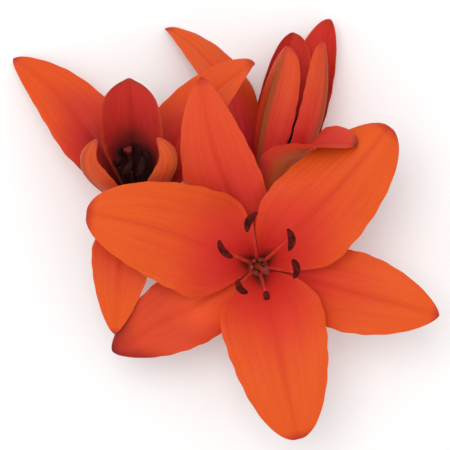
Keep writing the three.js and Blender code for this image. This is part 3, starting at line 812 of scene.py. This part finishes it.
def stalk_shell(name):
    """Stalk from the stem to a bloom: a round section that flares, as a square of the share
    of its last length, into the receptacle."""
    bloom = BLOOMS[name]
    axis = np.array([[0, 0, 1.0]]) @ rotation(bloom)
    end = np.array([bloom["base"]], float)
    stations = np.concatenate([np.array(STALK_ROUTES[name], float), end - STRAIGHT_END * axis, end])
    rings, sides = STEM_GRID
    route, length = smooth_route(stations, rings)
    tangent = unit(np.gradient(route, axis=0))
    hint = np.cross(tangent[0], tangent[-1])
    t = np.linspace(0, 1, rings)[:, None]
    flare = np.clip(1 - (1 - t) * length / FLARE_LENGTH, 0, 1)
    radius = STALK_RADIUS + (RECEPTACLE_RADIUS - STALK_RADIUS) * flare ** 2
    angle = full_turn(sides)[None, :]
    ribs = 1 + STALK_RIB_HEIGHT * np.cos(STALK_RIBS * angle)
    points = tube(route, radius * ribs, hint)
    everything, quads, fans = tube_shell(points)
    head = np.repeat(flare.ravel() ** FLARE_COLOUR_FADE, sides)
    return everything, [quads, fans], dict(head=np.concatenate([head, [0, 1]]))


def add_node(tree, kind, inputs=None, **settings):
    """Shader node with its settings; each input gets a value or a link from another socket."""
    node = tree.nodes.new(kind)
    for key, value in settings.items():
        setattr(node, key, value)
    for key, value in (inputs or {}).items():
        if isinstance(value, bpy.types.NodeSocket):
            tree.links.new(value, node.inputs[key])
        else:
            node.inputs[key].default_value = value
    return node


def maths(tree, operation, first, second=0.0, third=0.0):
    """Output of a Math node."""
    node = add_node(tree, "ShaderNodeMath", {0: first, 1: second, 2: third}, operation=operation)
    return node.outputs[0]


def ramp(tree, value, low, high, to_low=0.0, to_high=1.0):
    """Value mapped smoothly from low to high."""
    inputs = {"Value": value, "From Min": low, "From Max": high, "To Min": to_low, "To Max": to_high}
    node = add_node(tree, "ShaderNodeMapRange", inputs, interpolation_type="SMOOTHSTEP")
    return node.outputs[0]


def blended(tree, share, first, second):
    """Colour between two colours."""
    node = add_node(tree, "ShaderNodeMix", {0: share, 6: first, 7: second}, data_type="RGBA")
    return node.outputs[2]


def value_of(tree, name):
    """The piece's own named value at each point."""
    return add_node(tree, "ShaderNodeAttribute", attribute_name=name).outputs["Fac"]


def noise(tree, vector, scale, detail=3.0, roughness=0.5):
    """Noise from 0 to 1 at a place."""
    inputs = {"Vector": vector, "Scale": scale, "Detail": detail, "Roughness": roughness}
    return add_node(tree, "ShaderNodeTexNoise", inputs).outputs["Fac"]


def object_place(tree):
    """Place in the object's own coordinates, in metres."""
    return add_node(tree, "ShaderNodeTexCoord").outputs["Object"]


def new_group(name, colours, values):
    """Empty shader node group, and the sockets where its values come in and go out."""
    tree = bpy.data.node_groups.new(name, "ShaderNodeTree")
    sockets = [(key, "INPUT", "Color") for key in colours]
    sockets += [(key, "INPUT", "Float") for key in values]
    sockets += [(key, "OUTPUT", kind) for key, kind in GROUP_RESULTS.items()]
    for key, way, kind in sockets:
        tree.interface.new_socket(key, in_out=way, socket_type=f"NodeSocket{kind}")
    return tree, tree.nodes.new("NodeGroupInput").outputs, tree.nodes.new("NodeGroupOutput").inputs


def petal_streaks(tree, place, t, v):
    """Masks of the broad streaks and of the fine veins, both running along a petal: noise that
    is stretched along it, and a sine across it that the noise bends. The noise also changes
    with the place from left to right."""
    right = add_node(tree, "ShaderNodeSeparateXYZ", {"Vector": place}).outputs["X"]
    spread = add_node(tree, "ShaderNodeCombineXYZ", {
        "X": maths(tree, "MULTIPLY", v, STREAKS_ACROSS),
        "Y": maths(tree, "MULTIPLY", t, STREAKS_ALONG),
        "Z": maths(tree, "MULTIPLY", right, STREAK_CHANGE),
    }).outputs["Vector"]
    streaks = ramp(tree, noise(tree, spread, scale=1, detail=4), *STREAK_RANGE)
    wander = noise(tree, spread, scale=0.5, detail=2)
    count = maths(tree, "MULTIPLY", v, VEINS_ACROSS)
    count = maths(tree, "MULTIPLY_ADD", wander, VEIN_WANDER, count)
    veins = maths(tree, "SINE", maths(tree, "MULTIPLY", count, 2 * np.pi))
    return streaks, ramp(tree, veins, *VEIN_RANGE)


def inner_face(tree, given, t, offset, shifted, streaks, veins):
    """Colour of a petal's inner face: throat, middle and tip along it, sooner towards the
    margins, with redder streaks, veins and midline, a dark nectar groove at its foot and a
    margin in the back's colour."""
    square = maths(tree, "POWER", offset, 2)
    tongue = maths(tree, "MULTIPLY_ADD", square, MARGIN_LEAD, shifted)
    past_throat = ramp(tree, tongue, given["Throat Start"], given["Throat End"])
    at_tip = ramp(tree, tongue, given["Tip Start"], given["Tip End"])
    colour = blended(tree, past_throat, given["Throat"], given["Middle"])
    colour = blended(tree, at_tip, colour, given["Tip"])
    fading = maths(tree, "MULTIPLY_ADD", t, STREAK_FADE, STREAK_STRENGTH)
    redness = maths(tree, "MULTIPLY", streaks, fading)
    redness = maths(tree, "ADD", redness, maths(tree, "MULTIPLY", veins, VEIN_STRENGTH))
    midline = ramp(tree, offset, 0, MIDLINE_WIDTH, MIDLINE_STRENGTH, 0)
    redness = maths(tree, "MULTIPLY", maths(tree, "ADD", redness, midline), past_throat)
    colour = blended(tree, redness, colour, given["Vein"])
    foot = maths(tree, "MULTIPLY_ADD", offset, NECTAR_CURVE, t)
    nectar = ramp(tree, foot, *NECTAR_ENDS, NECTAR_STRENGTH, 0)
    colour = blended(tree, nectar, colour, given["Nectar"])
    margin = maths(tree, "MULTIPLY", ramp(tree, offset, *MARGIN_ENDS), given["Margin"])
    return blended(tree, margin, colour, given["Back"])


def back_face(tree, given, t, offset, shifted, streaks):
    """Colour of a petal's back: from the middle's colour to its own, with redder streaks, a
    keel along it and painted shade in a band on each side of the keel, where the grooves
    beside the raised keel lie."""
    share = ramp(tree, shifted, given["Back Start"], given["Back End"])
    colour = blended(tree, share, given["Middle"], given["Back"])
    faint = maths(tree, "MULTIPLY", streaks, BACK_STREAK_STRENGTH)
    colour = blended(tree, faint, colour, given["Vein"])
    width = given["Keel Width"]
    core = maths(tree, "MULTIPLY", width, KEEL_CORE)
    keel = ramp(tree, offset, core, width, KEEL_STRENGTH, 0)
    keel = maths(tree, "MULTIPLY", keel, ramp(tree, t, *KEEL_ENDS, 1, KEEL_TIP_STRENGTH))
    colour = blended(tree, keel, colour, given["Keel"])
    # Painted shade of the grooves on each side of the raised keel
    keel_shade = ramp(tree, maths(tree, "SINE", maths(tree, "MULTIPLY", offset, KEEL_SHADE_RATE)), 0, 1)
    keel_shade = maths(tree, "MULTIPLY", keel_shade, ramp(tree, offset, *KEEL_SHADE_ENDS, KEEL_SHADE_STRENGTH, 0))
    return blended(tree, keel_shade, colour, given["Vein"])


def petal_group():
    """Colour, roughness and relief of a petal: its inner face and its back, each moved along
    it by a slow cloud, and a dark point at the tip of both."""
    colours = [key.capitalize() for key in PETAL_COLOURS]
    values = ("Throat Start", "Throat End", "Tip Start", "Tip End", "Back Start", "Back End",
              "Keel Width", "Margin")
    tree, given, result = new_group("petal_pattern", colours, values)
    place = object_place(tree)
    t, v, inner = (value_of(tree, name) for name in ("along", "across", "inner"))
    offset = maths(tree, "ABSOLUTE", v)
    cloud = noise(tree, place, CLOUD_SCALE)
    shifted = maths(tree, "MULTIPLY_ADD", maths(tree, "SUBTRACT", cloud, 0.5), CLOUD_SHIFT, t)
    streaks, veins = petal_streaks(tree, place, t, v)
    colour = inner_face(tree, given, t, offset, shifted, streaks, veins)
    back = back_face(tree, given, t, offset, shifted, streaks)
    colour = blended(tree, inner, back, colour)
    point = ramp(tree, t, *POINT_ENDS, 0, POINT_STRENGTH)
    colour = blended(tree, point, colour, given["Point"])
    roughness = maths(tree, "MULTIPLY_ADD", cloud, PETAL_ROUGHNESS_SPREAD, PETAL_ROUGHNESS)
    grains = noise(tree, place, GRAIN_SCALE, detail=2)
    height = maths(tree, "MULTIPLY_ADD", streaks, STREAK_RELIEF, veins)
    height = maths(tree, "MULTIPLY_ADD", grains, GRAIN_RELIEF, height)
    tree.links.new(colour, result["Color"])
    tree.links.new(roughness, result["Roughness"])
    tree.links.new(height, result["Height"])
    return tree


def skin_group():
    """Colour, roughness and relief of anthers, filaments, pistils, stem and leaves: two
    colours in patches, with grains, each of a given size."""
    tree, given, result = new_group(
        "plant_skin", ("Light", "Dark"), ("Patch Scale", "Grain Scale", "Roughness"))
    place = object_place(tree)
    patches = noise(tree, place, given["Patch Scale"], detail=4, roughness=SKIN_CONTRAST)
    patches = ramp(tree, patches, *PATCH_RANGE)
    grains = noise(tree, place, given["Grain Scale"], roughness=SKIN_CONTRAST)
    roughness = maths(tree, "MULTIPLY_ADD", grains, SKIN_ROUGHNESS_SPREAD, given["Roughness"])
    tree.links.new(blended(tree, patches, given["Light"], given["Dark"]), result["Color"])
    tree.links.new(roughness, result["Roughness"])
    tree.links.new(grains, result["Height"])
    return tree


PETAL_PATTERN = petal_group()
PLANT_SKIN = skin_group()


def finish_from(name, group, inputs, relief, gloss):
    """Material whose colour, roughness and relief come from a group with its own values, and
    the material's shader and node group."""
    material = bpy.data.materials.new(name)
    material.use_nodes = True
    tree = material.node_tree
    shader = tree.nodes["Principled BSDF"]
    pattern = add_node(tree, "ShaderNodeGroup", node_tree=group)
    for key, value in inputs.items():
        pattern.inputs[key].default_value = value
    strength, distance = relief
    bump = add_node(tree, "ShaderNodeBump", {
        "Strength": strength, "Distance": distance, "Height": pattern.outputs["Height"]})
    tree.links.new(pattern.outputs["Color"], shader.inputs["Base Color"])
    tree.links.new(pattern.outputs["Roughness"], shader.inputs["Roughness"])
    tree.links.new(bump.outputs["Normal"], shader.inputs["Normal"])
    for key, value in gloss.items():
        shader.inputs[key].default_value = value
    return material, shader, pattern


def petal_finish(kind):
    """Satin petal that lets a little light through."""
    look = PETAL_LOOKS[kind]
    inputs = {key.capitalize(): srgb(*look[key]) for key in PETAL_COLOURS}
    for key in ("throat", "tip", "back"):
        start, end = look[f"{key}_ends"]
        inputs[f"{key.capitalize()} Start"] = start
        inputs[f"{key.capitalize()} End"] = end
    inputs["Keel Width"] = look["keel_width"]
    inputs["Margin"] = look["margin"]
    material, _, _ = finish_from(f"petal_{kind}", PETAL_PATTERN, inputs, PETAL_RELIEF, PETAL_GLOSS)
    return material


def skin_finish(name, light, dark, patch, grain, roughness, relief, gloss=0.4, head=None):
    """Plant finish in two colours; head is a third one where the piece's own head value is 1."""
    inputs = {
        "Light": srgb(*light), "Dark": srgb(*dark), "Patch Scale": patch, "Grain Scale": grain,
        "Roughness": roughness,
    }
    material, shader, pattern = finish_from(
        name, PLANT_SKIN, inputs, relief, {"Specular IOR Level": gloss})
    if head:
        tree = material.node_tree
        colour = blended(tree, value_of(tree, "head"), pattern.outputs["Color"], srgb(*head))
        tree.links.new(colour, shader.inputs["Base Color"])
    return material


PETALS = {kind: petal_finish(kind) for kind in PETAL_LOOKS}
FILAMENT = skin_finish(
    "filament", light=(214, 66, 50), dark=(196, 50, 40), patch=220, grain=1500,
    roughness=0.4, relief=(0.1, 0.0002))
# Painted shade: these are darker copies of the filament, pollen and pistil finishes, for the shade deep
# inside the left and upper blooms' cups
SHADE_PAINTED_FILAMENT = skin_finish(
    "shade_painted_filament", light=(70, 24, 20), dark=(46, 18, 16), patch=220, grain=1500,
    roughness=0.5, relief=(0.1, 0.0002), gloss=0.2)
POLLEN = skin_finish(
    "pollen", light=(100, 22, 16), dark=(52, 10, 9), patch=420, grain=2600,
    roughness=0.85, relief=(0.6, 0.0003), gloss=0.1)
SHADE_PAINTED_POLLEN = skin_finish(
    "shade_painted_pollen", light=(62, 24, 20), dark=(36, 16, 14), patch=420, grain=2600,
    roughness=0.85, relief=(0.6, 0.0003), gloss=0.1)
PISTIL = skin_finish(
    "pistil", light=(150, 70, 38), dark=(120, 58, 32), patch=180, grain=1200,
    roughness=0.4, relief=(0.15, 0.0002), gloss=0.2, head=(126, 27, 28))
SHADE_PAINTED_PISTIL = skin_finish(
    "shade_painted_pistil", light=(58, 24, 18), dark=(40, 18, 15), patch=180, grain=1200,
    roughness=0.5, relief=(0.15, 0.0002), gloss=0.2, head=(112, 26, 26))
STEM = skin_finish(
    "stem_skin", light=(104, 134, 62), dark=(74, 104, 44), patch=120, grain=900,
    roughness=0.4, relief=(0.3, 0.0003), head=(124, 62, 36))
LEAF = skin_finish(
    "leaf_skin", light=(92, 126, 56), dark=(64, 96, 40), patch=140, grain=1100,
    roughness=0.38, relief=(0.3, 0.0003))

# Finishes of the other parts of each bloom; the left and upper blooms get the copies darkened as painted
# shade
FILAMENTS = dict(front=FILAMENT, left=SHADE_PAINTED_FILAMENT, upper=SHADE_PAINTED_FILAMENT)
POLLENS = dict(front=POLLEN, left=SHADE_PAINTED_POLLEN, upper=SHADE_PAINTED_POLLEN)
PISTILS = dict(front=PISTIL, left=SHADE_PAINTED_PISTIL, upper=SHADE_PAINTED_PISTIL)


def dress_bloom(name):
    """All the pieces of one bloom."""
    bloom = BLOOMS[name]
    for place, spec in bloom["tepals"].items():
        node = f"{name}_{place}"
        kind = OTHER_LOOKS.get(node, BLOOM_LOOKS[name])
        blade_piece(node, spec, lambda points: in_part(points, bloom), PETALS[kind], "petal")
    shells = [collar_shell(bloom)] + [filament_shell(stamen, bloom) for stamen in bloom["stamens"]]
    new_piece(f"{name}_filament_set", shells, FILAMENTS[name], [f"{name}_filaments"])
    for number, stamen in enumerate(bloom["stamens"], 1):
        node = f"{name}_anther_{number}"
        rng = np.random.default_rng(seed_of(node))
        anther = anther_shell(stamen, bloom, rng)
        new_piece(f"{node}_pollen", [anther], POLLENS[name], [node])
    pistil = pistil_shell(bloom["pistil"], bloom)
    new_piece(f"{name}_style", [pistil], PISTILS[name], [f"{name}_pistil"])


def dress_stem():
    """Stem with its stalks, and the two small leaves."""
    shells = [stem_shell()] + [stalk_shell(name) for name in BLOOMS]
    new_piece("stem_with_stalks", shells, STEM, ["stem"])
    for node, spec in BRACTS.items():
        base = np.array(spec["base"])
        blade_piece(node, spec, lambda points: points + base, LEAF, "stem_green")


def add_floor():
    """Plain pale floor."""
    bpy.ops.mesh.primitive_plane_add(size=FLOOR_SIZE, location=(0, 0, 0))
    floor = bpy.context.object
    floor.name = "floor"
    material = bpy.data.materials.new("floor")
    material.use_nodes = True
    shader = material.node_tree.nodes["Principled BSDF"]
    shader.inputs["Base Color"].default_value = FLOOR_COLOUR
    shader.inputs["Roughness"].default_value = FLOOR_ROUGHNESS
    floor.data.materials.append(material)


def add_lights():
    """Pale surroundings and a large soft lamp above, a little to the upper left."""
    world = bpy.data.worlds.new("surroundings")
    world.use_nodes = True
    background = world.node_tree.nodes["Background"]
    background.inputs["Color"].default_value = SURROUNDINGS_COLOUR
    background.inputs["Strength"].default_value = SURROUNDINGS_STRENGTH
    bpy.context.scene.world = world
    lamp = bpy.data.lights.new("soft_lamp", "AREA")
    lamp.shape = "DISK"
    lamp.size = LAMP_SIZE
    lamp.energy = LAMP_POWER
    lamp_object = bpy.data.objects.new("soft_lamp", lamp)
    lamp_object.location = LAMP_PLACE
    bpy.context.scene.collection.objects.link(lamp_object)
    aim = bpy.data.objects.new("lamp_aim", None)
    bpy.context.scene.collection.objects.link(aim)
    track = lamp_object.constraints.new("TRACK_TO")
    track.target = aim


def add_camera():
    """Camera above the flower, looking straight down."""
    camera = bpy.data.cameras.new("camera")
    camera.lens = CAMERA_LENS
    camera.sensor_width = CAMERA_SENSOR
    camera_object = bpy.data.objects.new("camera", camera)
    x, y, _ = -BOX_MIDDLE
    camera_object.location = (x * METRES, y * METRES, CAMERA_HEIGHT * METRES)
    bpy.context.scene.collection.objects.link(camera_object)
    bpy.context.scene.camera = camera_object


add_camera()
for bloom_name in BLOOMS:
    dress_bloom(bloom_name)
dress_stem()
add_floor()
add_lights()
bpy.context.scene.view_settings.view_transform = "Standard"
